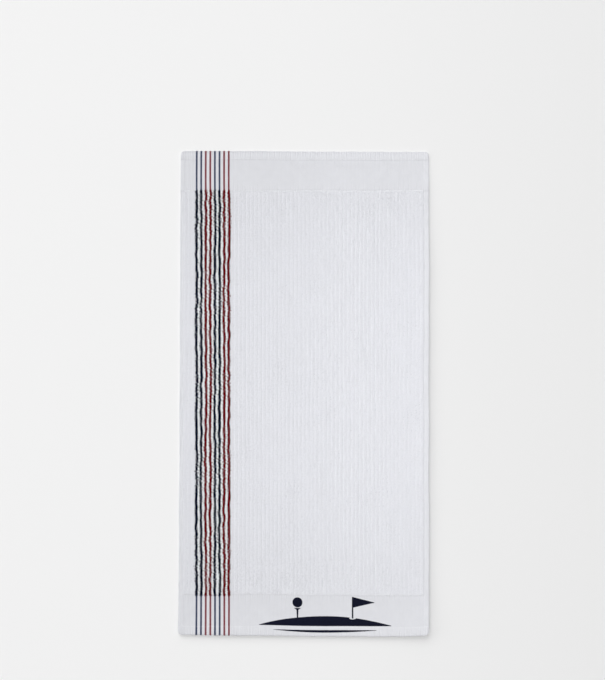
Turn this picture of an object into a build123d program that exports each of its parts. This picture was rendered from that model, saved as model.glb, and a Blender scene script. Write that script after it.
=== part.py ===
from build123d import *

import os

# A caddie-size terry golf towel, lying flat and face up. Millimetres.
# +X runs across the towel, +Y along it, +Z up out of its face. The origin is under the
# middle of the towel, on the surface that it lies on. The striped side is at -X and the
# emblem is at the -Y end.

os.makedirs("parts", exist_ok=True)

# Overall size of the cloth
towel_width = 560.0
towel_length = 1088.0

# Heights of the layers
back_pile_height = 1.8
ground_thickness = 0.8
white_groove_height = 1.4
white_crown_height = 1.9
stripe_wall_height = 1.4
stripe_crown_height = 2.3
border_yarn_height = 0.2
embroidery_height = 0.5

# Zones along the towel
top_border = 85.0
bottom_border = 91.5

# Turned hems, all as thick as the back pile so that the towel lies level
top_hem_width = 18.6
bottom_hem_width = 21.0
left_hem_width = 9.0
right_hem_width = 12.0
hem_fold_radius = 0.9

# Lockstitch rows: needle thread on the face, bobbin thread in the underside of the hem
stitch_inset = 1.6
thread_width = 0.5
thread_height = 0.3

# Stripes
stripe_pitch = 10.35
first_stripe_from_left = 38.2
stripe_width = 4.6
border_line_width = 3.6
stripe_colours = ["navy", "navy", "red", "red", "navy", "navy", "red", "red"]

# White ribs in the terry
margin_ribs = 3
field_ribs = 48

# Emblem, measured from its own centre line and up from the towel's bottom edge
emblem_centre_x = 47.0
hill_half_width = 150.0
hill_foot = 24.0
hill_sole = 23.0
hill_crest = 45.0
fairway_half_width = 118.0
fairway_tip = 14.5
fairway_bottom = 8.5
fairway_top = 14.0
flagstick_x = 62.0
flagstick_width = 3.0
flagstick_top = 88.0
flagstick_bottom = 40.5
cup_width = 15.0
cup_height = 5.0
pennant_length = 50.0
pennant_height = 24.0
ball_x = -62.0
ball_centre = 75.0
ball_radius = 11.0
tee_head_width = 15.0
tee_head_height = 62.5
tee_stem_width = 4.0
tee_foot = 38.0
tee_cup_depth = 1.5

# Care label on the back, its upper end caught in the bottom hem
label_width = 30.0
label_length = 50.0
label_thickness = 0.4
label_tail = 8.0
label_centre_x = 225.0

# Edges and levels that follow from the sizes above
left_edge = -towel_width / 2
right_edge = towel_width / 2
top_edge = towel_length / 2
bottom_edge = -towel_length / 2
terry_top = top_edge - top_border
terry_bottom = bottom_edge + bottom_border
terry_length = terry_top - terry_bottom
terry_left = left_edge + left_hem_width
terry_right = right_edge - right_hem_width
face_level = back_pile_height + ground_thickness
groove_level = face_level + white_groove_height
white_crown_level = face_level + white_crown_height
stripe_wall_level = face_level + stripe_wall_height
stripe_crown_level = face_level + stripe_crown_height
stripe_centres = [
    left_edge + first_stripe_from_left + number * stripe_pitch
    for number in range(len(stripe_colours))
]
stripes_left = stripe_centres[0] - stripe_width / 2
stripes_right = stripe_centres[-1] + stripe_width / 2
top_row_y = top_edge - top_hem_width + stitch_inset
bottom_row_y = bottom_edge + bottom_hem_width - stitch_inset
left_row_x = left_edge + left_hem_width - stitch_inset
right_row_x = right_edge - right_hem_width + stitch_inset
side_hem_top = top_edge - top_hem_width
side_hem_length = towel_length - top_hem_width - bottom_hem_width


def save(builder, name):
    """Labels a finished piece and writes it as its own STEP file."""
    builder.part.label = name
    export_step(builder.part, "parts/" + name + ".step")


def pile_strip(left, right, ribs, wall_level, crown_level):
    """Draws a pile strip's end view on the terry's upper end: one round crown for each rib."""
    pitch = (right - left) / ribs
    with BuildSketch(Plane.XZ.offset(-terry_top)) as strip:
        with BuildLine():
            for number in range(ribs):
                foot = left + number * pitch
                ThreePointArc(
                    (foot, wall_level),
                    (foot + pitch / 2, crown_level),
                    (foot + pitch, wall_level),
                )
            Polyline(
                (right, wall_level),
                (right, face_level),
                (left, face_level),
                (left, wall_level),
            )
        make_face()
    return strip.sketch


def hem_end_view(plane, outer, inner, row):
    """Draws a hem's end view: a flat turned layer, round at the fold, grooved for its thread."""
    middle = (outer + inner) / 2
    width = abs(outer - inner)
    with BuildSketch(plane) as view:
        with Locations((middle, back_pile_height / 2)):
            Rectangle(width, back_pile_height)
        fold = [
            corner
            for corner in view.vertices()
            if abs(plane.to_local_coords(corner).X - outer) < hem_fold_radius
            and abs(plane.to_local_coords(corner).Y) < hem_fold_radius
        ]
        fillet(fold, hem_fold_radius)
        with Locations((row, thread_height / 2)):
            Rectangle(thread_width, thread_height, mode=Mode.SUBTRACT)
    return view.sketch


def thread_end_view(plane, row):
    """Draws the end view of one lockstitch row: bobbin thread below, needle thread above."""
    with BuildSketch(plane) as view:
        with Locations((row, thread_height / 2), (row, face_level + thread_height / 2)):
            Rectangle(thread_width, thread_height)
    return view.sketch


def border_lines(colour, row_y, start, end):
    """Draws one colour's flat lines in a border, parted where the hem's thread crosses them."""
    middle = (start + end) / 2
    with BuildSketch(Plane.XY.offset(face_level)) as lines:
        for centre, name in zip(stripe_centres, stripe_colours):
            if name == colour:
                with Locations((centre, middle)):
                    Rectangle(border_line_width, end - start)
        with Locations(((stripes_left + stripes_right) / 2, row_y)):
            Rectangle(stripes_right - stripes_left, thread_width, mode=Mode.SUBTRACT)
    return lines.sketch


# Ground cloth: the woven base under the whole towel
with BuildPart() as ground_cloth:
    with BuildSketch(Plane.XY.offset(back_pile_height)):
        Rectangle(towel_width, towel_length)
    extrude(amount=ground_thickness)
save(ground_cloth, "ground_cloth")

# Back pile: the terry loops of the underside, between the hems and the borders
with BuildPart() as back_pile:
    with BuildSketch():
        with Locations(((terry_left + terry_right) / 2, (terry_top + terry_bottom) / 2)):
            Rectangle(terry_right - terry_left, terry_length)
    extrude(amount=back_pile_height)
save(back_pile, "back_pile")

# White face pile, left of the stripes
with BuildPart() as white_face_pile_margin:
    end_view = pile_strip(terry_left, stripes_left, margin_ribs, groove_level, white_crown_level)
    extrude(end_view, amount=terry_length)
save(white_face_pile_margin, "white_face_pile_margin")

# White face pile, right of the stripes
with BuildPart() as white_face_pile_field:
    end_view = pile_strip(stripes_right, terry_right, field_ribs, groove_level, white_crown_level)
    extrude(end_view, amount=terry_length)
save(white_face_pile_field, "white_face_pile_field")

# White pile between the stripes
with BuildPart() as white_pile_between_stripes:
    for left_centre, right_centre in zip(stripe_centres, stripe_centres[1:]):
        gap_left = left_centre + stripe_width / 2
        gap_right = right_centre - stripe_width / 2
        end_view = pile_strip(gap_left, gap_right, 1, groove_level, white_crown_level)
        extrude(end_view, amount=terry_length)
save(white_pile_between_stripes, "white_pile_between_stripes")

# Raised stripes of dyed pile yarn, numbered from the left within each colour
made = {"navy": 0, "red": 0}
for centre, colour in zip(stripe_centres, stripe_colours):
    made[colour] += 1
    stripe_left = centre - stripe_width / 2
    stripe_right = centre + stripe_width / 2
    with BuildPart() as stripe:
        end_view = pile_strip(stripe_left, stripe_right, 1, stripe_wall_level, stripe_crown_level)
        extrude(end_view, amount=terry_length)
    save(stripe, f"{colour}_stripe_{made[colour]}")

# The stripes' yarns carried flat through both borders to the ends of the cloth
for colour in ("navy", "red"):
    with BuildPart() as top_border_yarns:
        lines = border_lines(colour, top_row_y, terry_top, top_edge)
        extrude(lines, amount=border_yarn_height)
    save(top_border_yarns, f"top_border_{colour}_yarns")

    with BuildPart() as bottom_border_yarns:
        lines = border_lines(colour, bottom_row_y, bottom_edge, terry_bottom)
        extrude(lines, amount=border_yarn_height)
    save(bottom_border_yarns, f"bottom_border_{colour}_yarns")

# End hems, turned under across the full width
across = Plane.YZ.offset(left_edge)
with BuildPart() as top_hem:
    end_view = hem_end_view(across, top_edge, side_hem_top, top_row_y)
    extrude(end_view, amount=towel_width)
save(top_hem, "top_hem")

with BuildPart() as bottom_hem:
    end_view = hem_end_view(across, bottom_edge, bottom_edge + bottom_hem_width, bottom_row_y)
    extrude(end_view, amount=towel_width)
    # Room for the care label's tail, between the hem and the ground cloth
    with BuildSketch(Plane.XY.offset(back_pile_height)):
        with Locations((label_centre_x, bottom_edge + bottom_hem_width - label_tail / 2)):
            Rectangle(label_width, label_tail)
    extrude(amount=-label_thickness, mode=Mode.SUBTRACT)
save(bottom_hem, "bottom_hem")

# Side hems, between the end hems
along = Plane.XZ.offset(-side_hem_top)
with BuildPart() as left_hem:
    end_view = hem_end_view(along, left_edge, terry_left, left_row_x)
    extrude(end_view, amount=side_hem_length)
save(left_hem, "left_hem")

with BuildPart() as right_hem:
    end_view = hem_end_view(along, right_edge, terry_right, right_row_x)
    extrude(end_view, amount=side_hem_length)
save(right_hem, "right_hem")

# Lockstitch rows
with BuildPart() as top_hem_stitching:
    end_view = thread_end_view(across, top_row_y)
    extrude(end_view, amount=towel_width)
save(top_hem_stitching, "top_hem_stitching")

with BuildPart() as bottom_hem_stitching:
    end_view = thread_end_view(across, bottom_row_y)
    extrude(end_view, amount=towel_width)
save(bottom_hem_stitching, "bottom_hem_stitching")

with BuildPart() as left_hem_stitching:
    end_view = thread_end_view(along, left_row_x)
    extrude(end_view, amount=side_hem_length)
save(left_hem_stitching, "left_hem_stitching")

with BuildPart() as right_hem_stitching:
    end_view = thread_end_view(along, right_row_x)
    extrude(end_view, amount=side_hem_length)
save(right_hem_stitching, "right_hem_stitching")

# Emblem: a flag and a teed ball on rolling ground, in raised embroidery
emblem_plane = Plane((emblem_centre_x, bottom_edge, face_level))
with BuildPart() as emblem_embroidery:
    with BuildSketch(emblem_plane):
        # The hill
        with BuildLine():
            ThreePointArc((-hill_half_width, hill_foot), (0, hill_crest), (hill_half_width, hill_foot))
            ThreePointArc((hill_half_width, hill_foot), (0, hill_sole), (-hill_half_width, hill_foot))
        make_face()
        # The cup, an opening in the hill that the flagstick stands in
        with Locations((flagstick_x, flagstick_bottom)):
            Ellipse(cup_width / 2, cup_height / 2, mode=Mode.SUBTRACT)
        # The fairway line below the hem's thread
        with BuildLine():
            ThreePointArc(
                (-fairway_half_width, fairway_tip),
                (0, fairway_top),
                (fairway_half_width, fairway_tip),
            )
            ThreePointArc(
                (fairway_half_width, fairway_tip),
                (0, fairway_bottom),
                (-fairway_half_width, fairway_tip),
            )
        make_face()
        # The flagstick and its pennant
        with Locations((flagstick_x, (flagstick_top + flagstick_bottom) / 2)):
            Rectangle(flagstick_width, flagstick_top - flagstick_bottom)
        with BuildLine():
            Polyline(
                (flagstick_x, flagstick_top),
                (flagstick_x + pennant_length, flagstick_top - pennant_height / 2),
                (flagstick_x, flagstick_top - pennant_height),
                close=True,
            )
        make_face()
        # The tee and the ball
        with BuildLine():
            Polyline(
                (ball_x - tee_head_width / 2, tee_head_height),
                (ball_x - tee_stem_width / 2, tee_head_height - tee_stem_width),
                (ball_x - tee_stem_width / 4, tee_foot),
                (ball_x + tee_stem_width / 4, tee_foot),
                (ball_x + tee_stem_width / 2, tee_head_height - tee_stem_width),
                (ball_x + tee_head_width / 2, tee_head_height),
            )
            ThreePointArc(
                (ball_x + tee_head_width / 2, tee_head_height),
                (ball_x, tee_head_height - tee_cup_depth),
                (ball_x - tee_head_width / 2, tee_head_height),
            )
        make_face()
        with Locations((ball_x, ball_centre)):
            Circle(ball_radius)
    extrude(amount=embroidery_height)
save(emblem_embroidery, "emblem_embroidery")

# Care label: a plain tape on the back
with BuildPart() as care_label:
    with BuildSketch(Plane.XY.offset(back_pile_height)):
        with Locations(
            (label_centre_x, bottom_edge + bottom_hem_width - label_tail + label_length / 2)
        ):
            Rectangle(label_width, label_length)
    extrude(amount=-label_thickness)
save(care_label, "care_label")
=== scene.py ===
import math

import bpy
import numpy as np
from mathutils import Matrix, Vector


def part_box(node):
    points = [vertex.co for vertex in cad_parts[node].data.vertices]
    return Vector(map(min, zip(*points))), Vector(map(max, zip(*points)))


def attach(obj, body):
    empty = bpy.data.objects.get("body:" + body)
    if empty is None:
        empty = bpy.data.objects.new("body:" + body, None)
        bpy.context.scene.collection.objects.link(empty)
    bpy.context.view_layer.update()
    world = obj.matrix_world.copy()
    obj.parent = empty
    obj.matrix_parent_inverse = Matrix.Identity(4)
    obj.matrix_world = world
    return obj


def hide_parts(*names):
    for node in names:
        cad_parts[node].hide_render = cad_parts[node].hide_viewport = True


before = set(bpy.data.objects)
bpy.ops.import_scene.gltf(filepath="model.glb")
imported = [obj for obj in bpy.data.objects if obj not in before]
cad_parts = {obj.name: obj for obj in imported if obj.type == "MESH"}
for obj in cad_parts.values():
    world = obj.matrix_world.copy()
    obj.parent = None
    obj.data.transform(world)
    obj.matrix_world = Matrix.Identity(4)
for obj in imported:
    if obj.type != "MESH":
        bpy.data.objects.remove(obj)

# A striped terry golf towel lying flat, face up. Every piece is first built on the flat
# cloth, in metres and in the shared frame, and then laid down by lay().

MM = 0.001
TURN = 2 * math.pi

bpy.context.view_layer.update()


def span(node, axis):
    """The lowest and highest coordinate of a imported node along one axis."""
    low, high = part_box(node)
    return low[axis], high[axis]


def middle(node, axis):
    return sum(span(node, axis)) / 2


# The cloth and its zones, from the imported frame
LEFT, RIGHT = span("ground_cloth", 0)
BOTTOM, TOP = span("ground_cloth", 1)
UNDER, FACE = span("ground_cloth", 2)
WIDTH = RIGHT - LEFT
LENGTH = TOP - BOTTOM
TERRY_BOTTOM, TERRY_TOP = span("white_face_pile_field", 1)
WHITE_HEIGHT = span("white_face_pile_field", 2)[1] - FACE
STRIPE_HEIGHT = span("navy_stripe_1", 2)[1] - FACE
STRIPES = [
    f"{colour}_stripe_{number}"
    for numbers in ((1, 2), (3, 4))
    for colour in ("navy", "red")
    for number in numbers
]
STRIPE_CENTRES = [middle(node, 0) for node in STRIPES]
HEM_WIDTH = {
    "left": span("left_hem", 0)[1] - LEFT,
    "right": RIGHT - span("right_hem", 0)[0],
    "bottom": span("bottom_hem", 1)[1] - BOTTOM,
    "top": TOP - span("top_hem", 1)[0],
}
STITCH_FROM_EDGE = {
    "left": middle("left_hem_stitching", 0) - LEFT,
    "right": RIGHT - middle("right_hem_stitching", 0),
    "bottom": middle("bottom_hem_stitching", 1) - BOTTOM,
    "top": TOP - middle("top_hem_stitching", 1),
}

RIB_PITCH = 9.08 * MM
PLEAT_PITCH = 5.4 * MM
FOLD_RADIUS = 1.3 * MM
STITCH_PITCH = 3.2 * MM

# Relief of the woven face
HEM_PAD = 0.24 * MM
HEM_PAD_INSIDE, HEM_PAD_SLOPE = 1.0 * MM, 3.4 * MM
STITCH_PINCH, PINCH_REACH = 0.20 * MM, 0.8 * MM
RIPPLE, GATHERED_RIPPLE = 0.05 * MM, 0.10 * MM
PLEATS_BY_PILE, PLEATS_BY_HEM = 0.34 * MM, 0.40 * MM
PILE_PULL, HEM_PULL = 9 * MM, 16 * MM
DIP_DEPTH, DIP_PLACE, DIP_REACH, DIP_END = 0.16 * MM, 0.9 * MM, 1.3 * MM, 3 * MM
UNEVENNESS = 0.10 * MM

# Sideways wander of the striped band's warps
SLOW_WANDER, SLOW_WANDER_LENGTH = 1.1 * MM, 30 * MM
FINE_WANDER, FINE_WANDER_LENGTH = 1.7 * MM, 5 * MM
BAND_MARGIN, BAND_FADE = 6 * MM, 3 * MM
WANDER_START, WANDER_FULL = -2 * MM, 8 * MM

# Sag of the single cloth between the pile and the hems
SAG = 0.5 * MM
SAG_BY_HEM, SAG_BY_PILE, SAG_BY_SIDE = 26 * MM, 22 * MM, 30 * MM

# How the towel lies on the table: its out-of-square cut, its slanting weft, its swells and
# the edges that stand clear of the table
LEFT_EDGE_AT_BOTTOM, LEFT_EDGE_AT_TOP, LEFT_EDGE_REACH = -3.3 * MM, 2.3 * MM, 16 * MM
BOTTOM_SLOPE, TOP_SLOPE = 2.5 * MM, 1.1 * MM
TOP_ROW_LEFT, TOP_ROW_RIGHT, TOP_ROW_REACH = 3.6 * MM, 2.0 * MM, 60 * MM
CORNER_DRAW, CORNER_REACH_ACROSS, CORNER_REACH_ALONG = 4.5 * MM, 40 * MM, 200 * MM
SWAY_ACROSS, SWAY_ACROSS_LENGTH = 0.7 * MM, 170 * MM
SWAY_ALONG, SWAY_ALONG_LENGTH = 0.6 * MM, 150 * MM
SWELL, SWELL_LENGTH = 1.1 * MM, 210 * MM
SMALL_SWELL, SMALL_SWELL_LENGTH = 0.35 * MM, 75 * MM
PRESSED_WIDTH = 90 * MM
BOTTOM_LIFT, BOTTOM_LIFT_REACH = 4.6 * MM, 190 * MM
RIGHT_LIFT, RIGHT_LIFT_REACH, RIGHT_LIFT_FADE = 5.2 * MM, 115 * MM, 250 * MM


# ---------------------------------------------------------------- fields on the cloth


def noise(x, y, wavelength, seed, waves=7):
    """A smooth random field of about -1 to 1, with nothing much finer than the wavelength."""
    rng = np.random.default_rng(seed)
    total = np.zeros(np.broadcast(x, y).shape)
    for _ in range(waves):
        angle = rng.uniform(0, TURN)
        length = wavelength * rng.uniform(0.8, 1.9)
        phase = rng.uniform(0, TURN)
        along = x * math.cos(angle) + y * math.sin(angle)
        total += np.sin(along * TURN / length + phase)
    return total / math.sqrt(2 * waves)


def ramp(value, start, end):
    """Runs smoothly from 0 at start to 1 at end."""
    t = np.clip((value - start) / (end - start), 0, 1)
    return t * t * (3 - 2 * t)


def bell(distance, reach):
    """1 at no distance, falling off smoothly on both sides."""
    return np.exp(-((distance / reach) ** 2))


def blend(start, end, share):
    return start + (end - start) * share


def from_edges(x, y):
    """How far in from each edge a point of the flat cloth is."""
    return {"left": x - LEFT, "right": RIGHT - x, "bottom": y - BOTTOM, "top": TOP - y}


def hem_relief(inward, width, stitch):
    """Height of a hem's face over the cloth: a padded band, pinched along its stitch row."""
    foot = width + HEM_PAD_INSIDE
    band = ramp(inward, foot, foot - HEM_PAD_SLOPE)
    return band * HEM_PAD - bell(inward - stitch, PINCH_REACH) * STITCH_PINCH


def cloth_top(x, y):
    """Height of the woven face on the flat towel: its hems, ripples and pleats."""
    z = np.full(np.broadcast(x, y).shape, FACE)
    edges = from_edges(x, y)
    for side, inward in edges.items():
        z = z + hem_relief(inward, HEM_WIDTH[side], STITCH_FROM_EDGE[side])
    # The ribs' tension carries on into the borders as faint lengthwise ripples, and the
    # pile's ends and the hems gather the cloth into finer pleats
    off_pile = np.maximum(np.maximum(y - TERRY_TOP, TERRY_BOTTOM - y), 0)
    near_pile = np.exp(-off_pile / PILE_PULL)
    near_hem = np.exp(-np.minimum(edges["top"], edges["bottom"]) / HEM_PULL)
    ripple = np.sin(x * TURN / RIB_PITCH + 0.9 * noise(x, y, 90 * MM, 11))
    pleats = np.sin(x * TURN / PLEAT_PITCH + 2.2 * noise(x, y, 45 * MM, 13))
    z = z + ripple * (RIPPLE + GATHERED_RIPPLE * (near_pile + near_hem))
    z = z + pleats * (PLEATS_BY_PILE * near_pile + PLEATS_BY_HEM * near_hem)
    # The weave dips along the pile's top row, where the loops' yarns go down into it
    dip = bell(y - TERRY_TOP - DIP_PLACE, DIP_REACH)
    off_sides = np.minimum(edges["left"] - HEM_WIDTH["left"], edges["right"] - HEM_WIDTH["right"])
    z = z - dip * ramp(off_sides, 0, DIP_END) * DIP_DEPTH
    return z + noise(x, y, 26 * MM, 12) * UNEVENNESS


def warp_wander(x, y):
    """How far the striped band's warps wander sideways. They run straight at its sides and ends."""
    band_left = STRIPE_CENTRES[0] - BAND_MARGIN
    band_right = STRIPE_CENTRES[-1] + BAND_MARGIN
    slow = noise(1.2 * x, y, SLOW_WANDER_LENGTH, 41) * SLOW_WANDER
    fine = noise(0.35 * x, y, FINE_WANDER_LENGTH, 43) * FINE_WANDER
    in_band = ramp(x, band_left, band_left + BAND_FADE) * ramp(x, band_right, band_right - BAND_FADE)
    off_ends = ramp(np.minimum(TERRY_TOP - y, y - TERRY_BOTTOM), WANDER_START, WANDER_FULL)
    return (slow + fine) * in_band * off_ends


def border_sag(x, y):
    """How far the single cloth of a border sinks between the pile and its hem."""
    edges = from_edges(x, y)
    sag = 0.0
    for side, pile_edge in (("top", TOP - TERRY_TOP), ("bottom", TERRY_BOTTOM - BOTTOM)):
        hem_edge = HEM_WIDTH[side]
        off_hem = ramp(edges[side], hem_edge, hem_edge + SAG_BY_HEM)
        sag = sag + off_hem * ramp(edges[side], pile_edge, pile_edge - SAG_BY_PILE)
    for side in ("left", "right"):
        sag = sag * ramp(edges[side], HEM_WIDTH[side], HEM_WIDTH[side] + SAG_BY_SIDE)
    return sag * SAG


def rise(x, y):
    """How high the towel's underside stands over the table."""
    # The top and left edges lie flat on the table
    swell = 0.5 + 0.5 * np.clip(noise(x, y, SWELL_LENGTH, 23), -1, 1)
    small_swell = 0.5 + 0.5 * np.clip(noise(x, y, SMALL_SWELL_LENGTH, 24), -1, 1)
    free = ramp(np.minimum(x - LEFT, TOP - y), 0, PRESSED_WIDTH)
    swells = (SWELL * swell + SMALL_SWELL * small_swell) * free
    # The bottom and right edges curl up a little
    bottom_curl = BOTTOM_LIFT * np.clip(1 - (y - BOTTOM) / BOTTOM_LIFT_REACH, 0, 1) ** 2
    right_curl = RIGHT_LIFT * np.clip(1 - (RIGHT - x) / RIGHT_LIFT_REACH, 0, 1) ** 2
    return swells + bottom_curl + right_curl * ramp(TOP - y, 0, RIGHT_LIFT_FADE)


def lay(flat):
    """Lays points of the flat towel down on the table as the real cloth lies."""
    x, y, z = flat[..., 0], flat[..., 1], flat[..., 2]
    across = (x - LEFT) / WIDTH
    along = (y - BOTTOM) / LENGTH
    left_edge = blend(LEFT_EDGE_AT_BOTTOM, LEFT_EDGE_AT_TOP, along)
    side_lean = np.exp(-(x - LEFT) / LEFT_EDGE_REACH) * left_edge
    end_slope = (1 - 2 * across) * blend(BOTTOM_SLOPE, TOP_SLOPE, along)
    # The weft slants along the pile's top row, and the lower right corner is drawn in
    top_row = bell(y - TERRY_TOP, TOP_ROW_REACH) * blend(TOP_ROW_LEFT, TOP_ROW_RIGHT, across)
    near_corner = np.exp(-(RIGHT - x) / CORNER_REACH_ACROSS - (y - BOTTOM) / CORNER_REACH_ALONG)
    sway_x = noise(x, y, SWAY_ACROSS_LENGTH, 21) * SWAY_ACROSS
    sway_y = noise(x, y, SWAY_ALONG_LENGTH, 22) * SWAY_ALONG
    laid_x = x + side_lean + sway_x
    laid_y = y + end_slope + sway_y - top_row + near_corner * CORNER_DRAW
    return np.stack((laid_x, laid_y, z + rise(x, y) - border_sag(x, y)), axis=-1)


# ---------------------------------------------------------------- mesh building


def tubes(paths, radius, sideways, sides=4, flatten=1.0):
    """Many yarns at once. paths is (yarns, points, 3) and sideways each yarn's own side vector."""
    count, points, _ = paths.shape
    tangent = np.gradient(paths, axis=1)
    tangent /= np.linalg.norm(tangent, axis=2, keepdims=True)
    side = np.broadcast_to(sideways[:, None, :], paths.shape)
    side = side - (side * tangent).sum(2, keepdims=True) * tangent
    side = side / np.linalg.norm(side, axis=2, keepdims=True)
    up = np.cross(side, tangent)
    radius = np.broadcast_to(radius, (count, points))[:, :, None, None]
    angle = (np.arange(sides) + 0.5) * TURN / sides
    ring = np.cos(angle)[:, None] * side[:, :, None, :]
    ring = ring + flatten * np.sin(angle)[:, None] * up[:, :, None, :]
    verts = (paths[:, :, None, :] + radius * ring).reshape(-1, 3)
    start = np.arange(count)[:, None, None] * points * sides
    row = np.arange(points - 1)[None, :, None] * sides
    column = np.arange(sides)[None, None, :]
    here = start + row + column
    beside = start + row + (column + 1) % sides
    quads = np.stack((here, beside, beside + sides, here + sides), axis=-1)
    return verts, quads.reshape(-1, 4)


def grid(x, y, z, flip=False):
    """A sheet through a table of points."""
    rows, columns = x.shape
    verts = np.stack((x, y, z), axis=-1).reshape(-1, 3)
    corner = (np.arange(rows - 1)[:, None] * columns + np.arange(columns - 1)[None, :]).ravel()
    quads = np.stack((corner, corner + 1, corner + columns + 1, corner + columns), axis=-1)
    return verts, quads[:, ::-1] if flip else quads


def rim_order(rows, columns):
    """The points round the rim of a grid, anticlockwise."""
    index = np.arange(rows * columns).reshape(rows, columns)
    return np.concatenate((index[0, :], index[1:, -1], index[-1, -2::-1], index[-2:0:-1, 0]))


def inner_points(shape):
    """1 at the points inside a grid's rim and 0 on it."""
    inner = np.ones(shape)
    inner[[0, -1], :] = 0
    inner[:, [0, -1]] = 0
    return inner


def closed_sheet(x, y, top, bottom):
    """A thin closed sheet: a face, a back and the four cut edges."""
    face, face_quads = grid(x, y, top)
    back, back_quads = grid(x, y, bottom, flip=True)
    count = len(face)
    rim = rim_order(*x.shape)
    after = np.roll(rim, -1)
    edge = np.stack((after, rim, rim + count, after + count), axis=-1)
    return np.concatenate((face, back)), np.concatenate((face_quads, back_quads + count, edge))


def piece(name, parts, material, slot, replaces):
    """Makes one named piece of the towel. parts is a list of (verts, quads)."""
    laid = lay(np.concatenate([part_verts for part_verts, _ in parts]))
    starts = np.cumsum([0] + [len(part_verts) for part_verts, _ in parts[:-1]])
    quads = np.concatenate([part_quads + start for (_, part_quads), start in zip(parts, starts)])
    mesh = bpy.data.meshes.new(name)
    mesh.vertices.add(len(laid))
    mesh.vertices.foreach_set("co", laid.astype(np.float32).ravel())
    mesh.loops.add(len(quads) * 4)
    mesh.loops.foreach_set("vertex_index", quads.astype(np.int32).ravel())
    mesh.polygons.add(len(quads))
    mesh.polygons.foreach_set("loop_start", np.arange(len(quads), dtype=np.int32) * 4)
    mesh.update(calc_edges=True)
    mesh.shade_smooth()
    mesh.materials.append(material)
    made = bpy.data.objects.new(name, mesh)
    bpy.context.scene.collection.objects.link(made)
    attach(made, "root")
    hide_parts(*replaces)
    return made


# ---------------------------------------------------------------- materials


# Painted shade: the share of its full colour that the cotton keeps, as (place from 0 to 1, share):
# from the left side to the right, and from the bottom to the top. It darkens the left side and the
# two ends with painted shade. The narrow dark band is painted shade along the pile's top row, where
# the loops stand in each other's shade, and the last is painted shade on the top fold.
PAINTED_SHADE_ACROSS = ((0.0, 0.94), (0.08, 0.95), (0.25, 0.967), (0.42, 0.975), (0.66, 1.0), (1.0, 1.0))
PAINTED_SHADE_ALONG = (
    (0.0, 0.945), (0.11, 0.95), (0.21, 0.972), (0.33, 0.993), (0.5, 1.0), (0.7, 0.997), (0.8, 0.982),
    (0.9152, 0.957), (0.9172, 0.89), (0.9197, 0.89), (0.9212, 0.957),
    (0.9935, 0.962), (0.996, 0.935), (0.998, 0.85), (1.0, 0.82),
)

# Fineness of the procedural grain, per metre
YARN_SHADES, WEAVE_SHADES, THREAD_SHADES = 330, 60, 700
FIBRES, THREAD_TWIST = 2600, 4200
FIBRE_RELIEF, RIDGE_RELIEF, TWIST_RELIEF = 0.12 * MM, 0.10 * MM, 0.05 * MM

# A wave node's bands repeat every 1 / (scale * 20 / turn) of its vector's units
WAVES_PER_SCALE = 20 / TURN
WEFT_TO_WARP = 1.15


def new_material(name, roughness, sheen=0.0, sheen_tint=(1, 1, 1)):
    material = bpy.data.materials.new(name)
    material.use_nodes = True
    shader = material.node_tree.nodes["Principled BSDF"]
    shader.inputs["Roughness"].default_value = roughness
    shader.inputs["Specular IOR Level"].default_value = 0.1
    shader.inputs["Sheen Weight"].default_value = sheen
    shader.inputs["Sheen Roughness"].default_value = 0.6
    shader.inputs["Sheen Tint"].default_value = (*sheen_tint, 1)
    return material, material.node_tree, shader


def object_place(tree, stretch=(1, 1, 1)):
    """The point on the towel in metres, stretched along each axis."""
    place = tree.nodes.new("ShaderNodeTexCoord")
    mapping = tree.nodes.new("ShaderNodeMapping")
    mapping.inputs["Scale"].default_value = stretch
    tree.links.new(place.outputs["Object"], mapping.inputs["Vector"])
    return mapping.outputs["Vector"]


def noise_node(tree, vector, scale, detail=2.0):
    node = tree.nodes.new("ShaderNodeTexNoise")
    node.inputs["Scale"].default_value = scale
    node.inputs["Detail"].default_value = detail
    tree.links.new(vector, node.inputs["Vector"])
    return node.outputs["Fac"]


def wave_node(tree, vector, scale, direction):
    node = tree.nodes.new("ShaderNodeTexWave")
    node.bands_direction = direction
    node.inputs["Scale"].default_value = scale
    tree.links.new(vector, node.inputs["Vector"])
    return node.outputs["Fac"]


def ramp_node(tree, factor, stops):
    node = tree.nodes.new("ShaderNodeValToRGB")
    ramp_stops = node.color_ramp.elements
    while len(ramp_stops) < len(stops):
        ramp_stops.new(0.5)
    for stop, (position, colour) in zip(ramp_stops, stops):
        stop.position = position
        stop.color = (*colour, 1)
    tree.links.new(factor, node.inputs["Fac"])
    return node.outputs["Color"]


def range_node(tree, factor, low, high):
    node = tree.nodes.new("ShaderNodeMapRange")
    node.inputs["To Min"].default_value = low
    node.inputs["To Max"].default_value = high
    tree.links.new(factor, node.inputs["Value"])
    return node.outputs["Result"]


def maths_node(tree, operation, a, b):
    node = tree.nodes.new("ShaderNodeMath")
    node.operation = operation
    for socket, value in zip(node.inputs, (a, b)):
        if isinstance(value, (int, float)):
            socket.default_value = value
        else:
            tree.links.new(value, socket)
    return node.outputs["Value"]


def bump_node(tree, height, distance, strength=1.0):
    node = tree.nodes.new("ShaderNodeBump")
    node.inputs["Distance"].default_value = distance
    node.inputs["Strength"].default_value = strength
    tree.links.new(height, node.inputs["Height"])
    return node.outputs["Normal"]


def along_axis(tree, place, axis, low, high):
    """Runs from 0 to 1 along one axis, between two places on it."""
    axes = tree.nodes.new("ShaderNodeSeparateXYZ")
    tree.links.new(place, axes.inputs["Vector"])
    node = tree.nodes.new("ShaderNodeMapRange")
    node.inputs["From Min"].default_value = low
    node.inputs["From Max"].default_value = high
    tree.links.new(axes.outputs[axis], node.inputs["Value"])
    return node.outputs["Result"]


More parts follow.
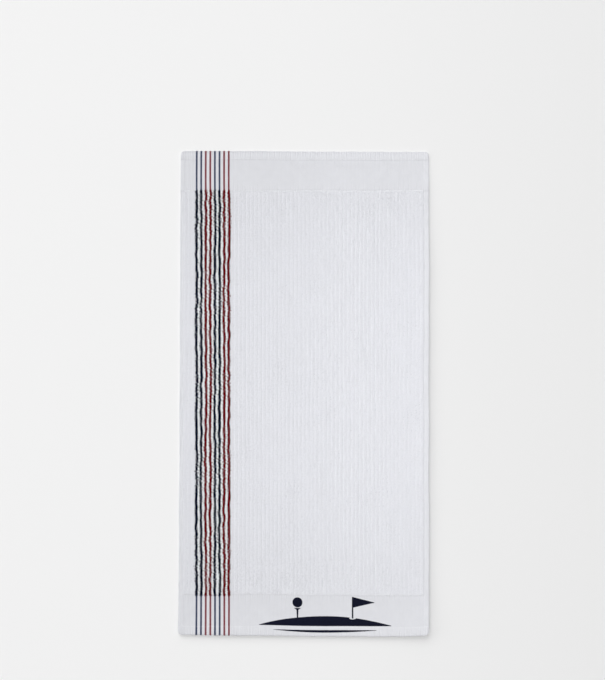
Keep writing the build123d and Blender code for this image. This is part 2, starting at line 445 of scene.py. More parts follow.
def multiply_node(tree, a, b):
    node = tree.nodes.new("ShaderNodeVectorMath")
    node.operation = "MULTIPLY"
    tree.links.new(a, node.inputs[0])
    tree.links.new(b, node.inputs[1])
    return node.outputs["Vector"]


def with_painted_shade(tree, place, colour):
    """Painted shade: the cotton's colour is made darker towards the towel's left side and its two ends,
    along the pile's top row and on the top fold. It shows on the white, and makes no difference that
    can be seen to the dyed yarns."""
    across = along_axis(tree, place, "X", LEFT, RIGHT)
    along = along_axis(tree, place, "Y", BOTTOM, TOP)
    for position, stops in ((across, PAINTED_SHADE_ACROSS), (along, PAINTED_SHADE_ALONG)):
        grey = ramp_node(tree, position, [(at, (share, share, share)) for at, share in stops])
        colour = multiply_node(tree, colour, grey)
    return colour


def tint(colour, amount):
    return tuple(min(1.0, c * amount) for c in colour)


def shades(tree, factor, colour, spread, positions):
    """A drift of shade: the colour, darker by the spread at one end and paler at the other."""
    amounts = np.linspace(1 - spread, 1 + spread, len(positions))
    return ramp_node(tree, factor, [(at, tint(colour, amount)) for at, amount in zip(positions, amounts)])


def pile_material(name, colour, spread, sheen, specular=0.1):
    """Cotton pile yarn: shade drifts from yarn to yarn, with fine fibre grain."""
    material, tree, shader = new_material(name, 0.9, sheen)
    shader.inputs["Specular IOR Level"].default_value = specular
    place = object_place(tree)
    drift = noise_node(tree, place, YARN_SHADES, 3)
    yarn_colour = shades(tree, drift, colour, spread, (0.25, 0.5, 0.75))
    # The yarn's colour carries painted shade over the towel
    tree.links.new(with_painted_shade(tree, place, yarn_colour), shader.inputs["Base Color"])
    fibre = noise_node(tree, place, FIBRES, 2)
    tree.links.new(range_node(tree, fibre, 0.82, 1.0), shader.inputs["Roughness"])
    tree.links.new(bump_node(tree, fibre, FIBRE_RELIEF, 0.5), shader.inputs["Normal"])
    return material


def weave_material(name, colour, spread, pitch, sheen=0.1):
    """Plain-woven cotton: warp and weft ridges over a faint unevenness of shade."""
    material, tree, shader = new_material(name, 0.85, sheen)
    place = object_place(tree)
    scale = 1 / (WAVES_PER_SCALE * pitch)
    warp = wave_node(tree, place, scale, "X")
    weft = wave_node(tree, place, scale * WEFT_TO_WARP, "Y")
    ridges = maths_node(tree, "MAXIMUM", warp, weft)
    drift = noise_node(tree, place, WEAVE_SHADES, 4)
    woven_colour = shades(tree, drift, colour, spread, (0.3, 0.7))
    # The weave's colour carries painted shade over the towel
    tree.links.new(with_painted_shade(tree, place, woven_colour), shader.inputs["Base Color"])
    tree.links.new(range_node(tree, ridges, 0.95, 0.78), shader.inputs["Roughness"])
    tree.links.new(bump_node(tree, ridges, RIDGE_RELIEF, 0.6), shader.inputs["Normal"])
    return material


def thread_material(name, colour, spread, roughness, sheen, specular=0.1):
    """Spun sewing or embroidery thread: a fine twist and a slight change of shade."""
    material, tree, shader = new_material(name, roughness, sheen)
    shader.inputs["Specular IOR Level"].default_value = specular
    place = object_place(tree)
    drift = noise_node(tree, place, THREAD_SHADES, 2)
    tree.links.new(shades(tree, drift, colour, spread, (0.3, 0.7)), shader.inputs["Base Color"])
    twist = noise_node(tree, place, THREAD_TWIST, 1)
    twist_roughness = range_node(tree, twist, roughness - 0.08, roughness + 0.12)
    tree.links.new(twist_roughness, shader.inputs["Roughness"])
    tree.links.new(bump_node(tree, twist, TWIST_RELIEF, 0.4), shader.inputs["Normal"])
    return material


# Base colours in linear light
WHITE = (0.865, 0.872, 0.910)
# The white pile between the stripes is painted lighter than the rest of the white pile, to make up for
# the shade the raised stripes cast on it
STRIPE_WHITE_PAINTED_LIGHTER = (0.965, 0.985, 1.0)
WEAVE_WHITE = (0.771, 0.778, 0.815)
THREAD_WHITE = (0.84, 0.845, 0.865)
LABEL_WHITE = (0.82, 0.82, 0.81)
PILE_NAVY, PILE_RED = (0.0030, 0.0055, 0.022), (0.165, 0.0030, 0.0065)
FLAT_NAVY, FLAT_RED = (0.004, 0.020, 0.085), (0.22, 0.007, 0.018)
EMBLEM_NAVY = (0.0045, 0.006, 0.020)
WEAVE_PITCH, LABEL_PITCH = 1.1 * MM, 0.6 * MM

white_terry = pile_material("white_terry_loops", WHITE, 0.03, 0.15)
# A copy of the white pile painted lighter, for the strips between the stripes
stripe_white_painted_lighter = pile_material("white_terry_painted_lighter_by_the_stripes", STRIPE_WHITE_PAINTED_LIGHTER, 0.01, 0.15)
navy_pile = pile_material("navy_pile_yarn", PILE_NAVY, 0.35, 0.0, specular=0.0)
red_pile = pile_material("red_pile_yarn", PILE_RED, 0.25, 0.0, specular=0.0)
ground_weave = weave_material("white_ground_weave", WEAVE_WHITE, 0.015, WEAVE_PITCH)
# The hems' weave is the ground weave painted a little lighter: painted light on the padded hem band
hem_weave_painted_lighter = weave_material("white_hem_weave", tint(WEAVE_WHITE, 1.02), 0.02, WEAVE_PITCH)
navy_flat = thread_material("navy_border_yarn", FLAT_NAVY, 0.2, 0.8, 0.0, specular=0.0)
red_flat = thread_material("red_border_yarn", FLAT_RED, 0.2, 0.8, 0.0, specular=0.0)
white_thread = thread_material("white_sewing_thread", THREAD_WHITE, 0.03, 0.6, 0.1)
navy_embroidery = thread_material("navy_embroidery_thread", EMBLEM_NAVY, 0.3, 0.5, 0.0)
label_tape = weave_material("label_satin_tape", LABEL_WHITE, 0.01, LABEL_PITCH)


# ---------------------------------------------------------------- terry pile


ROOT_DEPTH = 0.3 * MM
PILE_TAPER = 5 * MM
WOBBLE_LENGTH = 3.2 * MM

WHITE_YARN, WHITE_ROW, WHITE_COLUMNS = 0.68 * MM, 2.0 * MM, 4
WHITE_SQUEEZE, WHITE_CROWN = 0.84, 0.24
WHITE_GROOVE = 0.3 * MM
FIELD_BANDS = 12
MARGIN_RIBS = 3
GAP_COLUMNS = 3
GAP_INSET = 0.45 * MM
STRIPE_YARN, STRIPE_ROW, STRIPE_COLUMNS = 0.62 * MM, 1.75 * MM, 4
STRIPE_SPILL, STRIPE_TAIL = 0.6 * MM, 3.6 * MM
STRIPE_WOBBLE, STRIPE_END_INSET = 0.3 * MM, 0.6 * MM
BED_STEP, BED_SINK = 1.75 * MM, 0.1 * MM
BACK_STEP, BACK_NUB = 2.45 * MM, 0.75 * MM


def loops(x, y, height, lean_x, lean_y, yarn, seed, points=4, disorder=1.0):
    """Terry loops rooted at x, y: each is a yarn that comes out of the cloth, arches and goes back."""
    rng = np.random.default_rng(seed)
    count = len(x)
    turn = math.pi / 2 + rng.normal(0, 0.75 * disorder, count)
    reach = yarn * rng.uniform(1.3, 2.1, count)
    direction = np.stack((np.cos(turn), np.sin(turn), np.zeros(count)), axis=-1)
    sideways = np.stack((-np.sin(turn), np.cos(turn), np.zeros(count)), axis=-1)
    lean_x = lean_x + rng.normal(0, 0.22 * disorder, count)
    lean_y = lean_y + rng.normal(0, 0.35, count)
    climbing = np.stack((lean_x, lean_y, np.ones(count)), axis=-1)
    t = np.linspace(0.07, 0.93, points) * math.pi
    swing = -np.cos(t) * (1 + 0.35 * np.sin(t))
    arch = np.sin(t) ** 0.8
    root = np.stack((x, y, np.full(count, FACE - ROOT_DEPTH)), axis=-1)
    climb = (height + ROOT_DEPTH - yarn)[:, None] * arch[None, :]
    paths = root[:, None, :] + (swing[None, :] * reach[:, None])[:, :, None] * direction[:, None, :]
    paths = paths + climb[:, :, None] * climbing[:, None, :]
    return tubes(paths, yarn, sideways)


def nubbly_bed(left, right, low_height, high_height, groove, closed, seed):
    """The pile's deeper loops, matted together. groove lowers it between ribs of RIB_PITCH, and
    closed says which of the left and right sides turn down to the cloth."""
    columns = max(3, round((right - left) / BED_STEP))
    rows = round((TERRY_TOP - TERRY_BOTTOM) / BED_STEP)
    x_lines = np.linspace(left, right, columns + 1)
    y_lines = np.linspace(TERRY_BOTTOM, TERRY_TOP, rows + 1)
    x, y = np.meshgrid(x_lines, y_lines)
    rng = np.random.default_rng(seed)
    nub = rng.uniform(low_height, high_height, x.shape)
    if groove:
        phase = (x - left) / RIB_PITCH * TURN
        nub = nub - groove * (0.5 + 0.5 * np.cos(phase)) ** 3
    # A strip's outer lines are shared with its neighbours, so they hold no random height
    nub[:, 0] = nub[:, -1] = low_height
    for column, at_cloth in zip((0, -1), closed):
        if at_cloth:
            nub[:, column] = -BED_SINK
    nub[[0, -1], :] = -BED_SINK
    inner = inner_points(x.shape)
    x = x + inner * rng.normal(0, 0.22, x.shape) * BED_STEP
    y = y + inner * rng.normal(0, 0.22, x.shape) * BED_STEP
    return grid(x + warp_wander((left + right) / 2, y), y, FACE + nub)


def terry(
    left, right, columns, ribs, height, end_inset, row_pitch, seed,
    wobble=0.0, squeeze=1.0, crowned=0.12, tail=0.0,
):
    """Roots, heights and leans of the loops of a strip of ribs, each rib a few loops wide.
    squeeze draws a rib's loops together and crowned lowers its outer ones. tail is how far the
    rows run on past the lower end of the pile."""
    rng = np.random.default_rng(seed)
    low_end = TERRY_BOTTOM - tail
    rows = int((TERRY_TOP - low_end) / row_pitch)
    total = ribs * columns
    pitch = (right - left) / total
    column, row = np.meshgrid(np.arange(total), np.arange(rows))
    column, row = column.ravel(), row.ravel()
    place = (column % columns + 0.5) / columns * 2 - 1
    crown = left + (column // columns + 0.5) * columns * pitch
    x = crown + place * squeeze * columns * pitch / 2 + rng.normal(0, 0.13, len(column)) * pitch
    y = low_end + (row + 0.5 + 0.5 * (column % 2)) * row_pitch
    y = y + rng.normal(0, 0.2, len(row)) * row_pitch
    y = np.clip(y, low_end + end_inset, TERRY_TOP - end_inset)
    if wobble:
        # The strip shifts and swells a little from row to row
        x = x + noise(y, np.full(y.shape, left), WOBBLE_LENGTH, seed + 2) * wobble
        x = x + (x - crown) * noise(y, np.full(y.shape, left), WOBBLE_LENGTH, seed + 3) * 0.28
    x = x + warp_wander(crown, y)
    tall = height * (1 - crowned * place**2) * rng.uniform(0.86, 1.0, len(x))
    tall = tall * (1 - 0.05 * (noise(x, y, 30 * MM, 31) > 0.4))
    # The pile tapers off over its last rows, which fall a little over the flat border
    lean_y = ramp(y, TERRY_TOP - PILE_TAPER, TERRY_TOP) - ramp(y, low_end + PILE_TAPER, low_end)
    tall = tall * (1 - 0.38 * np.abs(lean_y))
    return x, y, tall, place * 0.45, lean_y * 0.15


def white_strip(name, left, right, ribs, closed, seed, node):
    """A strip of the ribbed white pile, a few ribs wide."""
    x, y, tall, lean, fall = terry(
        left, right, WHITE_COLUMNS, ribs, WHITE_HEIGHT, WHITE_YARN, WHITE_ROW, seed,
        squeeze=WHITE_SQUEEZE, crowned=WHITE_CROWN,
    )
    pile = loops(x, y, tall, lean * 0.3, fall, WHITE_YARN, seed + 2)
    bed = nubbly_bed(left, right, 0.1 * MM, 1.1 * MM, WHITE_GROOVE, closed, seed + 3)
    return piece(name, [pile, bed], white_terry, "white_terry", [node])


def field_strips():
    """The field to the right of the stripes, as neighbouring strips that each hold whole ribs."""
    left, right = span("white_face_pile_field", 0)
    ribs = round((right - left) / RIB_PITCH)
    rib = (right - left) / ribs
    strips = []
    for band in range(FIELD_BANDS):
        first = round(ribs * band / FIELD_BANDS)
        last = round(ribs * (band + 1) / FIELD_BANDS)
        closed = (band == 0, band == FIELD_BANDS - 1)
        strips.append(
            white_strip(
                f"white_field_terry_{band + 1}", left + first * rib, left + last * rib, last - first,
                closed, 100 + 10 * band, "white_face_pile_field",
            )
        )
    return strips


def margin_strip():
    """The ribs between the left hem and the first stripe."""
    left, right = span("white_face_pile_margin", 0)
    return white_strip(
        "white_margin_terry", left, right, MARGIN_RIBS, (True, True), 300, "white_face_pile_margin"
    )


def gap_strips():
    """The white pile between the stripes, as one piece for each half of the striped band."""
    halves = {"left": [], "right": []}
    for number, (left_node, right_node) in enumerate(zip(STRIPES, STRIPES[1:])):
        left = span(left_node, 0)[1] + GAP_INSET
        right = span(right_node, 0)[0] - GAP_INSET
        x, y, tall, lean, fall = terry(
            left, right, GAP_COLUMNS, 1, STRIPE_HEIGHT * 0.93, WHITE_YARN, WHITE_ROW, 320 + number
        )
        pile = loops(x, y, tall, lean * 0.1, fall, WHITE_YARN, 340 + number, disorder=0.4)
        bed = nubbly_bed(left, right, 0.2 * MM, 1.0 * MM, 0, (True, True), 360 + number)
        halves["left" if number < 4 else "right"] += [pile, bed]
    return [
        piece(
            f"white_terry_between_{half}_stripes", parts, stripe_white_painted_lighter, "white_terry",
            ["white_pile_between_stripes"],
        )
        for half, parts in halves.items()
    ]


def stripe_strip(number, node):
    """One raised stripe of dyed pile."""
    material, slot = (navy_pile, "navy_pile") if node.startswith("navy") else (red_pile, "red_pile")
    left, right = span(node, 0)
    seed = 400 + 10 * number
    x, y, tall, lean, fall = terry(
        left - STRIPE_SPILL, right + STRIPE_SPILL, STRIPE_COLUMNS, 1, STRIPE_HEIGHT, STRIPE_END_INSET,
        STRIPE_ROW, seed, wobble=STRIPE_WOBBLE, tail=STRIPE_TAIL,
    )
    pile = loops(x, y, tall, lean * 0.1, fall, STRIPE_YARN, seed + 3, points=6, disorder=0.4)
    bed = nubbly_bed(
        left + STRIPE_SPILL, right - STRIPE_SPILL, 0.8 * MM, 1.8 * MM, 0, (True, True), seed + 5
    )
    return piece(node + "_loops", [pile, bed], material, slot, [node])


def back_pile():
    """The underside's loops, pressed down by the towel's own weight into a nubbly mat."""
    low_x, high_x = span("back_pile", 0)
    low_y, high_y = span("back_pile", 1)
    columns = int((high_x - low_x) / BACK_STEP) + 1
    rows = int((high_y - low_y) / BACK_STEP) + 1
    x, y = np.meshgrid(np.linspace(low_x, high_x, columns), np.linspace(low_y, high_y, rows))
    rng = np.random.default_rng(600)
    inner = inner_points(x.shape)
    x = x + inner * rng.normal(0, 0.25, x.shape) * BACK_STEP
    y = y + inner * rng.normal(0, 0.25, x.shape) * BACK_STEP
    nub = rng.uniform(0.0, BACK_NUB, x.shape)
    verts, quads = grid(x, y, nub, flip=True)
    # The rim turns up to the cloth, so that the mat has a thickness at its edges
    rim = rim_order(rows, columns)
    wall = verts[rim].copy()
    wall[:, 2] = UNDER
    here = np.arange(len(rim))
    after = np.roll(here, -1)
    start = len(verts)
    side = np.stack((rim[after], start + after, start + here, rim), axis=-1)
    mat = np.concatenate((verts, wall)), np.concatenate((quads, side))
    return piece("back_terry", [mat], white_terry, "white_terry", ["back_pile"])


pile_pieces = [
    *field_strips(),
    margin_strip(),
    *gap_strips(),
    *(stripe_strip(number, node) for number, node in enumerate(STRIPES)),
    back_pile(),
]


# ---------------------------------------------------------------- woven cloth and hems


CLOTH_INSET = 2.2 * MM
CLOTH_COLUMNS = 450
HEM_STEP = 0.8 * MM
HEM_CORNER = 9.0 * MM
HEM_TUCK = 5 * MM
HEM_OVER_CLOTH = 0.12 * MM
END_HEM_RAISE, SIDE_HEM_SINK = 0.35 * MM, 0.6 * MM
HEM_EDGE_NOISE, HEM_EDGE_NOISE_LENGTH = 0.22 * MM, 23 * MM
PUCKER, PUCKER_REACH = 0.09 * MM, 1.6 * MM
STITCH_HALF, THREAD_RADIUS = 1.38 * MM, 0.21 * MM


def ground_cloth():
    """The woven base: close columns for the borders' pleats, and long rows under the pile."""
    low, high = BOTTOM + CLOTH_INSET, TOP - CLOTH_INSET
    pile_start, pile_end, dip_end = TERRY_BOTTOM + 1 * MM, TERRY_TOP - 1 * MM, TERRY_TOP + 5 * MM
    x_lines = np.linspace(LEFT + CLOTH_INSET, RIGHT - CLOTH_INSET, CLOTH_COLUMNS)
    y_lines = np.concatenate(
        (
            np.linspace(low, pile_start, 40, endpoint=False),
            np.linspace(pile_start, pile_end, 10, endpoint=False),
            np.linspace(pile_end, dip_end, 8, endpoint=False),
            np.linspace(dip_end, high, 36),
        )
    )
    x, y = np.meshgrid(x_lines, y_lines)
    top = cloth_top(x, y)
    in_terry = ramp(y, TERRY_BOTTOM, TERRY_BOTTOM + 2 * MM) * ramp(y, TERRY_TOP, TERRY_TOP - 2 * MM)
    top = top * (1 - in_terry) + FACE * in_terry
    sheet = closed_sheet(x, y, top, top - (FACE - UNDER))
    return piece("ground_cloth_weave", [sheet], ground_weave, "ground_weave", ["ground_cloth"])


def on_side(side, along, inward):
    """The x and y of a point along one edge of the cloth, some way in from it."""
    if side == "left":
        return LEFT + inward, along
    if side == "right":
        return RIGHT - inward, along
    if side == "bottom":
        return along, BOTTOM + inward
    return along, TOP - inward


def hem_section(side):
    """One turn round a hem: its face from the inside edge out, the fold, and its underside."""
    width, stitch = HEM_WIDTH[side], STITCH_FROM_EDGE[side]
    top_inward = np.array(
        (width + 0.5 * MM, width, width - 0.9 * MM, stitch, stitch - 0.9 * MM, stitch - 2 * MM)
    )
    outer = np.linspace(stitch - 2 * MM, FOLD_RADIUS, 4)[1:]
    fold = np.linspace(0, math.pi, 7)[1:]
    fold_inward = FOLD_RADIUS * (1 - np.sin(fold))
    fold_height = FOLD_RADIUS * (1 + np.cos(fold))
    under_inward = np.array(
        (0.5 * stitch, stitch - 0.6 * MM, stitch, stitch + 0.6 * MM, width - 0.4 * MM, width)
    )
    under_height = np.array((0.0, 0.0, 0.14, 0.0, 0.1, 0.5)) * MM
    inward = np.concatenate((top_inward, outer, fold_inward, under_inward, [width + 0.3 * MM]))
    height = np.concatenate(
        (np.full(len(top_inward) + len(outer), np.nan), fold_height, under_height, [UNDER - 0.1 * MM])
    )
    return inward, height


def round_corners(along, outer_share):
    """How far an end hem's outer edge draws in to round off the towel's corners."""
    to_end = np.minimum(along - LEFT, RIGHT - along)
    short = np.clip(HEM_CORNER - to_end, 0, HEM_CORNER)
    return (HEM_CORNER - np.sqrt(HEM_CORNER**2 - short**2)) * outer_share


def over_side_hems(x, inward, width):
    """How much an end hem is raised where it goes over the side hems."""
    left_edge, right_edge = LEFT + HEM_WIDTH["left"], RIGHT - HEM_WIDTH["right"]
    over = ramp(x, left_edge + 2 * MM, left_edge - 1 * MM)
    over = over + ramp(x, right_edge - 2 * MM, right_edge + 1 * MM)
    return END_HEM_RAISE * over * ramp(inward, width, width - 2 * MM)


def under_end_hems(along):
    """How much a side hem is sunk where it goes in under the end hems."""
    to_top_hem = TOP - HEM_WIDTH["top"] - along
    to_bottom_hem = along - BOTTOM - HEM_WIDTH["bottom"]
    return SIDE_HEM_SINK * ramp(np.minimum(to_top_hem, to_bottom_hem), 1.5 * MM, -0.5 * MM)


def hem_face(side, along, inward):
    """Height of a hem's face, over its neighbours at the corners and puckered by its stitches."""
    x, y = on_side(side, along, inward)
    face = cloth_top(x, y) + HEM_OVER_CLOTH
    if side in ("bottom", "top"):
        face = face + over_side_hems(x, inward, HEM_WIDTH[side])
    else:
        face = face - under_end_hems(along)
    pucker = np.cos(along * TURN / STITCH_PITCH) * bell(inward - STITCH_FROM_EDGE[side], PUCKER_REACH)
    return face + pucker * PUCKER


def roll_quads(station_count, ring):
    """The skin of a roll, whose stations are each a ring of points."""
    row = np.arange(station_count - 1)[:, None] * ring
    column = np.arange(ring)[None, :]
    here = row + column
    beside = row + (column + 1) % ring
    return np.stack((here, beside, beside + ring, here + ring), axis=-1).reshape(-1, 4)


def hem(side, node):
    """A turned hem as a flattened roll of cloth."""
    end_hem = side in ("bottom", "top")
    if end_hem:
        start, end = LEFT, RIGHT
    else:
        start = BOTTOM + HEM_WIDTH["bottom"] - HEM_TUCK
        end = TOP - HEM_WIDTH["top"] + HEM_TUCK
    stations = np.linspace(start, end, int((end - start) / HEM_STEP) + 1)
    inward, height = hem_section(side)
    along, inward = np.meshgrid(stations, inward, indexing="ij")
    height = np.broadcast_to(height, along.shape).copy()
    edge_noise = noise(along, along * 0, HEM_EDGE_NOISE_LENGTH, 51 + len(side)) * HEM_EDGE_NOISE
    outer_share = np.clip(1 - inward / HEM_WIDTH[side], 0, 1)
    shifted = inward + edge_noise * outer_share
    if end_hem:
        shifted = shifted + round_corners(along, outer_share)
    x, y = on_side(side, along, shifted)
    face = hem_face(side, along, inward)
    # The fold starts level with the face and ends on the floor
    on_face = np.isnan(height)
    stretch = face[:, on_face[0]][:, -1:] / (2 * FOLD_RADIUS)
    in_fold = inward <= FOLD_RADIUS + 1e-9
    z = np.where(on_face, face, height * np.where(in_fold, stretch, 1.0))
    # The roll is pressed shut at its two ends
    z[[0, -1]] = (z.max(axis=1, keepdims=True) + z.min(axis=1, keepdims=True))[[0, -1]] / 2
    verts = np.stack((x, y, z), axis=-1).reshape(-1, 3)
    quads = roll_quads(*x.shape)
    if side in ("right", "bottom"):
        quads = quads[:, ::-1]
    return piece(node + "_fold", [(verts, quads)], hem_weave_painted_lighter, "ground_weave", [node])


def stitches(side, node):
    """A lockstitch row: needle thread on the face and bobbin thread on the underside."""
    stitch = STITCH_FROM_EDGE[side]
    if side in ("left", "right"):
        start = BOTTOM + HEM_WIDTH["bottom"]
        end = TOP - HEM_WIDTH["top"]
        step = np.array((0.0, 1.0))
    else:
        start, end = LEFT + 2 * MM, RIGHT - 2 * MM
        step = np.array((1.0, 0.0))
    count = int((end - start) / STITCH_PITCH)
    rng = np.random.default_rng(700 + len(side))
    centre = (np.floor(start / STITCH_PITCH) + 1 + np.arange(count)) * STITCH_PITCH
    centre = centre + rng.normal(0, 0.06, count) * MM
    t = np.linspace(-1, 1, 7)
    along = centre[:, None] + t[None, :] * STITCH_HALF
    drift = rng.normal(0, 0.07, count)[:, None] * MM
    skew = rng.normal(0.12, 0.05, count)[:, None] * t[None, :] * MM
    x, y = on_side(side, along, np.broadcast_to(stitch + drift + skew, along.shape))
    bow = np.cos(t * math.pi / 2) ** 0.6
    needle = cloth_top(x, y) + (0.05 + 0.26 * bow) * MM
    bobbin = np.full(x.shape, 0.30 * MM) - 0.12 * MM * bow[None, :]
    sideways = np.broadcast_to((-step[1], step[0], 0.0), (count, 3))
    threads = [
        tubes(np.stack((x, y, z), axis=-1), THREAD_RADIUS, sideways, sides=6) for z in (needle, bobbin)
    ]
    return piece(node + "_thread", threads, white_thread, "white_thread", [node])


cloth = ground_cloth()
for side in ("left", "right", "bottom", "top"):
    hem(side, f"{side}_hem")
    stitches(side, f"{side}_hem_stitching")


# ---------------------------------------------------------------- flat stripes in the borders


YARNS_PER_STRIPE = 7
YARN_PITCH, YARN_RADIUS = 0.58 * MM, 0.31 * MM
YARN_STEP = 0.6 * MM
YARN_HIGH, YARN_LOW = 0.20 * MM, 0.10 * MM


def border_yarns(end, colour, material):
    """The stripe warps carried flat to the end of the cloth and over its fold."""
    node = f"{end}_border_{colour}_yarns"
    pile_edge = TOP - TERRY_TOP if end == "top" else TERRY_BOTTOM - BOTTOM
    outward = 1 if end == "top" else -1
    straight = np.arange(pile_edge + 1.5 * MM, FOLD_RADIUS, -YARN_STEP)
    turn = np.arange(1, 9) / 9 * math.pi
    inward = np.concatenate((straight, FOLD_RADIUS * (1 - np.sin(turn))))
    in_hem = ramp(inward, HEM_WIDTH[end] + 1 * MM, HEM_WIDTH[end] - 1 * MM)
    in_fold = slice(len(straight), None)
    paths = []
    for centre in (centre for centre, name in zip(STRIPE_CENTRES, STRIPES) if name.startswith(colour)):
        for number in range(YARNS_PER_STRIPE):
            across = centre + (number - YARNS_PER_STRIPE // 2) * YARN_PITCH
            x, y = on_side(end, np.full(inward.shape, across), inward)
            # Each yarn goes over and under the weft in turn
            over = np.where((np.arange(len(inward)) + number) % 2 == 0, YARN_HIGH, YARN_LOW)
            z = cloth_top(x, y) + over + in_hem * HEM_OVER_CLOTH
            z[in_fold] = z[len(straight) - 1] * (0.5 + 0.5 * np.cos(turn))
            y[in_fold] += outward * 0.2 * MM * np.sin(turn)
            paths.append(np.stack((x, y, z), axis=-1))
    paths = np.array(paths)
    sideways = np.broadcast_to((1.0, 0.0, 0.0), (len(paths), 3))
    yarns = tubes(paths, YARN_RADIUS, sideways, sides=4, flatten=0.6)
    return piece(node + "_woven", [yarns], material, f"{colour}_yarn", [node])


yarn_pieces = [
    border_yarns(end, colour, material)
    for end in ("top", "bottom")
    for colour, material in (("navy", navy_flat), ("red", red_flat))
]


# ---------------------------------------------------------------- emblem


EMBLEM_X = middle("emblem_embroidery", 0)
HILL_HALF = (span("emblem_embroidery", 0)[1] - span("emblem_embroidery", 0)[0]) / 2
HILL_FOOT, HILL_SOLE, HILL_CREST = 24 * MM, 23 * MM, 45 * MM
FAIRWAY_HALF, FAIRWAY_TIP, FAIRWAY_LOW, FAIRWAY_HIGH = 118 * MM, 14.5 * MM, 8.5 * MM, 14 * MM
STICK_X, STICK_WIDTH, STICK_TOP, STICK_FOOT = 62 * MM, 3 * MM, 88 * MM, 40.5 * MM
CUP_WIDTH, CUP_HEIGHT = 15 * MM, 5 * MM
PENNANT_LENGTH, PENNANT_HEIGHT = 50 * MM, 24 * MM
BALL_X, BALL_Y, BALL_RADIUS = -62 * MM, 75 * MM, 11 * MM
TEE_HEAD, TEE_TOP, TEE_STEM, TEE_FOOT = 15 * MM, 62.5 * MM, 4 * MM, 38 * MM
THREAD_PITCH, SATIN_RADIUS = 0.45 * MM, 0.31 * MM
SATIN_LOW, SATIN_PUFF = 0.10 * MM, 0.42 * MM


def arc_height(x, half, foot, top):
    """Height of the round arc from (-half, foot) over (0, top) to (half, foot)."""
    bulge = top - foot
    radius = (half**2 + bulge**2) / (2 * abs(bulge))
    return top - math.copysign(1, bulge) * (radius - np.sqrt(radius**2 - x**2))


def satin(a, low, high, upright, seed):
    """Satin stitches side by side. a is each thread's place across, low and high its two ends."""
    rng = np.random.default_rng(seed)
    count = len(a)
    a = a + rng.normal(0, 0.03, count) * MM
    low = low + rng.normal(0, 0.12, count) * MM
    high = high + rng.normal(0, 0.12, count) * MM
    t = np.linspace(0, 1, 9)
    along = low[:, None] + (high - low)[:, None] * t
    across = np.broadcast_to(a[:, None], along.shape)
    x, y = (across, along) if upright else (along, across)
    x, y = x + EMBLEM_X, y + BOTTOM
    puff = SATIN_LOW + SATIN_PUFF * np.sin(t * math.pi) ** 0.45
    z = cloth_top(x, y) + puff + rng.normal(0, 0.02, count)[:, None] * MM
    sideways = (1.0, 0.0, 0.0) if upright else (0.0, 1.0, 0.0)
    sideways = np.broadcast_to(sideways, (count, 3))
    return tubes(np.stack((x, y, z), axis=-1), SATIN_RADIUS, sideways, sides=5, flatten=0.8)


def hill():
    """The ground, with a cup cut into it at the flagstick's foot."""
    x = np.arange(-HILL_HALF + 2 * MM, HILL_HALF - 2 * MM, THREAD_PITCH)
    low = arc_height(x, HILL_HALF, HILL_FOOT, HILL_SOLE)
    high = arc_height(x, HILL_HALF, HILL_FOOT, HILL_CREST)
    inside = np.abs(x - STICK_X) < CUP_WIDTH / 2
    cup = np.zeros(len(x))
    cup[inside] = CUP_HEIGHT / 2 * np.sqrt(1 - ((x[inside] - STICK_X) / (CUP_WIDTH / 2)) ** 2)
    parts = [satin(x, low, np.where(inside, STICK_FOOT - cup, high), True, 801)]
    above = inside & (high - (STICK_FOOT + cup) > 0.8 * MM)
    if above.any():
        parts.append(satin(x[above], STICK_FOOT + cup[above], high[above], True, 802))
    return parts


def fairway():
    x = np.arange(-FAIRWAY_HALF + 3 * MM, FAIRWAY_HALF - 3 * MM, THREAD_PITCH)
    low = arc_height(x, FAIRWAY_HALF, FAIRWAY_TIP, FAIRWAY_LOW)
    high = arc_height(x, FAIRWAY_HALF, FAIRWAY_TIP, FAIRWAY_HIGH)
    return satin(x, low, high, True, 803)


def flagstick():
    y = np.arange(STICK_FOOT, STICK_TOP, THREAD_PITCH)
    half = np.full(len(y), STICK_WIDTH / 2)
    return satin(y, STICK_X - half, STICK_X + half, False, 804)


def pennant():
    start = STICK_X + STICK_WIDTH / 2 + 0.3 * MM
    x = np.arange(start, STICK_X + PENNANT_LENGTH - 1 * MM, THREAD_PITCH)
    half = PENNANT_HEIGHT / 2 * (1 - (x - STICK_X) / PENNANT_LENGTH)
    flag_middle = STICK_TOP - PENNANT_HEIGHT / 2
    return satin(x, flag_middle - half, flag_middle + half, True, 805)


def ball():
    x = np.arange(-BALL_RADIUS + 0.4 * MM, BALL_RADIUS, THREAD_PITCH)
    half = np.sqrt(BALL_RADIUS**2 - x**2)
    return satin(x + BALL_X, BALL_Y - half, BALL_Y + half, True, 806)


def tee():
    """The ball's tee: a stem that tapers to its foot, under a flared head."""
    y = np.arange(TEE_FOOT, TEE_TOP, THREAD_PITCH)
    flare = np.clip((y - (TEE_TOP - TEE_STEM)) / TEE_STEM, 0, 1)
    taper = (y - TEE_FOOT) / (TEE_TOP - TEE_STEM - TEE_FOOT)
    head = TEE_STEM + (TEE_HEAD - TEE_STEM) * flare
    half = np.where(flare > 0, head, TEE_STEM * (0.5 + 0.5 * taper)) / 2
    return satin(y, BALL_X - half, BALL_X + half, False, 807)


def emblem():
    """A flag and a teed ball on rolling ground, in raised satin stitches."""
    parts = [*hill(), fairway(), flagstick(), pennant(), ball(), tee()]
    return piece("emblem_satin_stitch", parts, navy_embroidery, "navy_embroidery", ["emblem_embroidery"])


emblem_piece = emblem()


# ---------------------------------------------------------------- care label


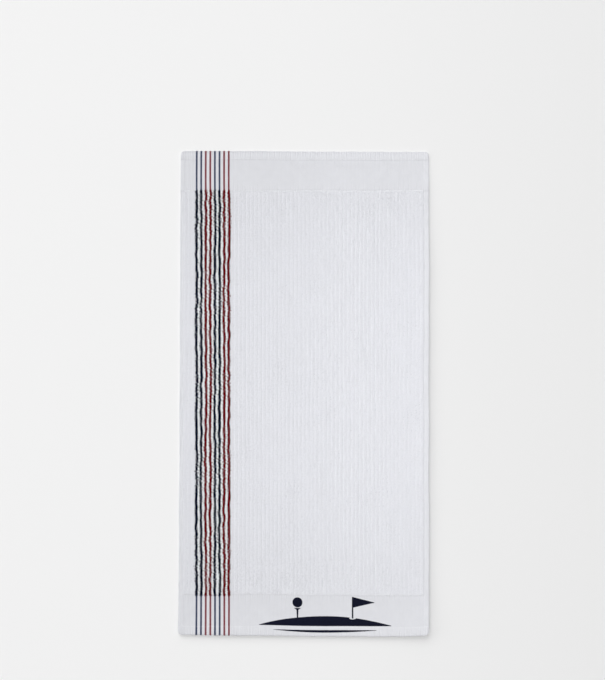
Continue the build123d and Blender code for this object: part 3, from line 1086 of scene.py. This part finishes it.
def care_label():
    """A blank woven tape on the back, its upper end caught in the hem."""
    low_x, high_x = span("care_label", 0)
    low_y, high_y = span("care_label", 1)
    low_z, high_z = span("care_label", 2)
    x, y = np.meshgrid(np.linspace(low_x, high_x, 25), np.linspace(low_y, high_y, 41))
    top = high_z - 0.05 * MM + noise(x, y, 18 * MM, 901) * 0.04 * MM
    tape = closed_sheet(x, y, top, top - (high_z - low_z) * 0.8)
    return piece("care_label_tape", [tape], label_tape, "label_tape", ["care_label"])


label = care_label()


# ---------------------------------------------------------------- camera, floor and light


CAMERA_PLACE = (-0.004, 0.120, 3.0)
VIEW_HEIGHT = 1.529
SENSOR = 36
FLOOR_SIZE = 14
# Painted light falloff in the floor's colour, from its left to its right
FLOOR_PAINTED_FALLOFF = ((0.0, 0.895), (0.5, 0.882), (1.0, 0.842))
FLOOR_LEFT, FLOOR_RIGHT = -0.67, 0.67
SKY = 0.270


def camera():
    """Looks straight down, with the whole view as high as VIEW_HEIGHT at the floor."""
    lens = bpy.data.cameras.new("camera")
    lens.sensor_width = SENSOR
    lens.lens = SENSOR * CAMERA_PLACE[2] / VIEW_HEIGHT
    seen_from = bpy.data.objects.new("camera", lens)
    seen_from.location = CAMERA_PLACE
    bpy.context.scene.collection.objects.link(seen_from)
    bpy.context.scene.camera = seen_from


def floor():
    """Pale paper, with painted light falloff that makes it a little paler at the left and darker at the
    right.
    """
    bpy.ops.mesh.primitive_plane_add(size=FLOOR_SIZE, location=(0, 0, 0))
    plane = bpy.context.object
    plane.name = "floor"
    material, tree, shader = new_material("pale_paper", 0.95)
    across = along_axis(tree, object_place(tree), "X", FLOOR_LEFT, FLOOR_RIGHT)
    stops = [(at, (shade, shade, shade)) for at, shade in FLOOR_PAINTED_FALLOFF]
    tree.links.new(ramp_node(tree, across, stops), shader.inputs["Base Color"])
    plane.data.materials.append(material)


def softbox(name, place, size, power):
    """A rectangular light that faces the towel's middle."""
    light = bpy.data.lights.new(name, "AREA")
    light.shape = "RECTANGLE"
    light.size, light.size_y = size
    light.energy = power
    box = bpy.data.objects.new(name, light)
    box.location = place
    box.rotation_mode = "QUATERNION"
    box.rotation_quaternion = (-Vector(place)).to_track_quat("-Z", "Y")
    box.visible_camera = False
    bpy.context.scene.collection.objects.link(box)


def studio():
    bpy.context.scene.view_settings.view_transform = "Standard"
    camera()
    floor()
    softbox("overhead", (0.4, -0.4, 9.0), (9.0, 9.0), 427)
    softbox("window", (-5.5, 19.2, 13.4), (22.0, 17.0), 3130)
    softbox("side", (-18.3, 3.2, 7.5), (14.0, 8.0), 820)
    world = bpy.data.worlds.new("studio")
    world.use_nodes = True
    background = world.node_tree.nodes["Background"]
    background.inputs["Color"].default_value = (1, 1, 1, 1)
    background.inputs["Strength"].default_value = SKY
    bpy.context.scene.world = world


studio()
